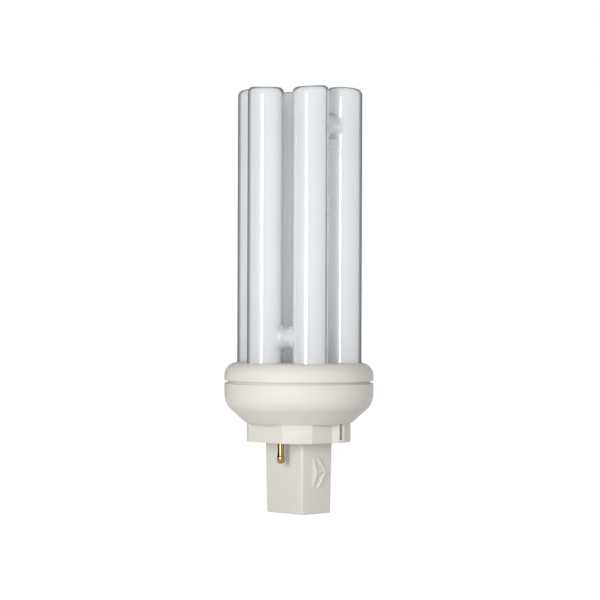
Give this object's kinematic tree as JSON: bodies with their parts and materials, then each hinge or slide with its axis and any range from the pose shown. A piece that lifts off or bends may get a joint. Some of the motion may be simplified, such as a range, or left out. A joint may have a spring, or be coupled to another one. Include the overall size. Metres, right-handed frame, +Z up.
{
  "type": "compact fluorescent bulb",
  "caption": "Plug-in fluorescent bulb: a ring of bridged white glass tube legs in a round plastic cap, with a keyed plug plate, contact pins and a starter post.",
  "frame": {"origin": "middle of the plug post's end face, on the lamp axis", "axes": "+Z up the lamp axis from the plug to the tube tops; the contact pins stand in front of the -Y and +Y faces of the post and the grip arrows are on its -X and +X faces"},
  "size_m": [0.0484, 0.0484, 0.1375],
  "materials": {
    "phosphor_glass": "clear glossy glass over a white phosphor coat, opaque",
    "base_plastic": "satin moulded, warm off-white",
    "pin_brass": "polished",
    "cement": "matt",
    "starter_glass": "clear blown glass",
    "capacitor_resin": "dipped resin",
    "lead_wire": "nickel plated",
    "sleeve_fibre": "varnished glass-fibre sleeve"
  },
  "bodies": {
    "root": {"discharge_tube": "phosphor_glass", "tube_cement": "cement", "top_cover": "base_plastic", "base_housing": "base_plastic", "front_contact_pin": "pin_brass", "rear_contact_pin": "pin_brass", "glow_starter": "starter_glass", "suppression_capacitor": "capacitor_resin", "front_pin_lead": "lead_wire", "front_starter_lead": "lead_wire", "rear_pin_lead": "lead_wire", "rear_starter_lead": "lead_wire", "front_pin_lead_sleeve": "sleeve_fibre", "front_starter_lead_sleeve": "sleeve_fibre", "rear_pin_lead_sleeve": "sleeve_fibre", "rear_starter_lead_sleeve": "sleeve_fibre"}
  },
  "joints": []
}
